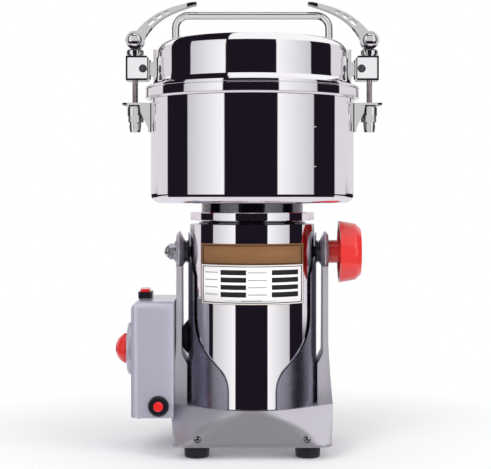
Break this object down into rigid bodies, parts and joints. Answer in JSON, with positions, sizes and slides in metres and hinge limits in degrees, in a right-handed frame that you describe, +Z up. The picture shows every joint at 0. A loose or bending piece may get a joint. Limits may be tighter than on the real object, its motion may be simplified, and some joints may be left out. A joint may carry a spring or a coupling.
{
  "type": "electric grain mill",
  "caption": "Upright electric grain mill: clamped steel chamber on a motor that tilts between the arms of a cast stand, with a side control box.",
  "frame": {"origin": "middle of the whole mill's footprint, on the floor", "axes": "+Z up along the motor's shaft, +X towards the lock knob, -Y towards the front, where the bowl tips out"},
  "size_m": [0.2493, 0.2, 0.4172],
  "materials": {
    "cast_paint": "satin silver-grey coating on a fine cast grain",
    "box_paint": "satin silver-grey coating",
    "polished_steel": "mirror-polished stainless steel",
    "chrome_parts": "polished",
    "dark_chrome": "polished, dark",
    "plain_steel": "bright zinc",
    "blade_steel": "ground",
    "dark_steel": "blackened",
    "laminations": "stamped sheet pack",
    "cast_aluminium": "as cast",
    "copper_wire": "enamelled copper",
    "bush_bronze": "sintered bronze",
    "carbon": "carbon, matt black",
    "foot_rubber": "matt black",
    "seal_silicone": "translucent white silicone",
    "black_plastic": "satin black",
    "red_plastic": "glossy red",
    "red_switch": "glossy translucent red"
  },
  "bodies": {
    "stand": {"cradle_casting": "cast_paint", "base_sole": "plain_steel", "rubber_feet": "foot_rubber", "foot_screws": "plain_steel", "sole_screws": "plain_steel", "motor_guard": "polished_steel", "pivot_bushes": "bush_bronze", "control_box_shell": "box_paint", "control_box_floor": "box_paint", "box_floor_screws": "plain_steel", "box_mount_screws": "plain_steel", "timer_dial": "box_paint", "timer_mechanism": "black_plastic", "switch_bezel": "black_plastic", "breaker_body": "black_plastic", "mains_gland": "black_plastic", "lead_grommet": "foot_rubber"},
    "head": {"motor_shell": "polished_steel", "motor_top_plate": "plain_steel", "motor_end_cap": "black_plastic", "brush_bridge": "cast_aluminium", "stator_core": "laminations", "field_coils": "copper_wire", "shaft_bearings": "plain_steel", "carbon_brushes": "carbon", "pivot_studs": "dark_steel", "pivot_washers": "black_plastic", "pivot_cap_nut": "chrome_parts", "neck_collar": "dark_chrome", "chamber_screws": "plain_steel", "grinding_bowl": "polished_steel", "shaft_seal": "foot_rubber", "catch_brackets": "chrome_parts", "latch_keepers": "chrome_parts"},
    "rotor": {"motor_shaft": "plain_steel", "armature_core": "laminations", "armature_coils": "copper_wire", "commutator": "copper_wire", "cooling_fan": "black_plastic", "blade_lower": "blade_steel", "blade_middle": "blade_steel", "blade_upper": "blade_steel", "blade_spacers": "blade_steel", "blade_nut": "blade_steel"},
    "lid": {"lid_shell": "polished_steel", "lid_plug": "polished_steel", "lid_seal": "seal_silicone", "lid_handle": "chrome_parts", "handle_nuts": "plain_steel", "lid_lugs": "chrome_parts"},
    "latch_left": {"latch_block_left": "chrome_parts", "latch_rod_left": "chrome_parts"},
    "latch_right": {"latch_block_right": "chrome_parts", "latch_rod_right": "chrome_parts"},
    "lever_left": {"lever_left": "chrome_parts"},
    "lever_right": {"lever_right": "chrome_parts"},
    "lock_knob": {"lock_knob": "red_plastic"},
    "timer_knob": {"timer_knob": "red_plastic"},
    "power_rocker": {"power_rocker": "red_switch"},
    "reset_button": {"reset_button": "red_switch"}
  },
  "joints": [
    {"name": "head_tilt", "type": "hinge", "parent": "stand", "child": "head", "pos_m": [0.00365, 0, 0.183], "axis": [1, 0, 0], "range_deg": [0, 80]},
    {"name": "lock_knob_turn", "type": "hinge", "parent": "head", "child": "lock_knob", "pos_m": [0.08065, 0, 0.183], "axis": [1, 0, 0], "range_deg": [0, 180]},
    {"name": "rotor_spin", "type": "hinge", "parent": "head", "child": "rotor", "pos_m": [0.00365, 0, 0.12], "axis": [0, 0, 1], "continuous": true},
    {"name": "lid_lift", "type": "slide", "parent": "head", "child": "lid", "axis": [0, 0, 1], "range_m": [0, 0.08]},
    {"name": "lever_left_turn", "type": "hinge", "parent": "latch_left", "child": "lever_left", "pos_m": [-0.10635, 0, 0.38105], "axis": [0, -1, 0], "range_deg": [0, 110]},
    {"name": "lever_right_turn", "type": "hinge", "parent": "latch_right", "child": "lever_right", "pos_m": [0.11365, 0, 0.38105], "axis": [0, 1, 0], "range_deg": [0, 110]},
    {"name": "latch_left_swing", "type": "hinge", "parent": "lid", "child": "latch_left", "pos_m": [-0.09835, 0, 0.354], "axis": [0, 1, 0], "range_deg": [0, 25]},
    {"name": "latch_right_swing", "type": "hinge", "parent": "lid", "child": "latch_right", "pos_m": [0.10565, 0, 0.354], "axis": [0, -1, 0], "range_deg": [0, 25]},
    {"name": "timer_knob_turn", "type": "hinge", "parent": "stand", "child": "timer_knob", "pos_m": [-0.11635, 0, 0.09227], "axis": [1, 0, 0], "range_deg": [0, 300]},
    {"name": "power_rocker_tip", "type": "hinge", "parent": "stand", "child": "power_rocker", "pos_m": [-0.09705, 0.008, 0.144], "axis": [1, 0, 0], "range_deg": [0, 16]},
    {"name": "reset_button_press", "type": "slide", "parent": "stand", "child": "reset_button", "axis": [0, 1, 0], "range_m": [0, 0.0025], "stiffness_N_per_m": 200}
  ],
  "couplings": [
    {"joint": "latch_left_swing", "follows": "lever_left_turn", "ratio": 0.2272},
    {"joint": "latch_right_swing", "follows": "lever_right_turn", "ratio": 0.2272}
  ]
}
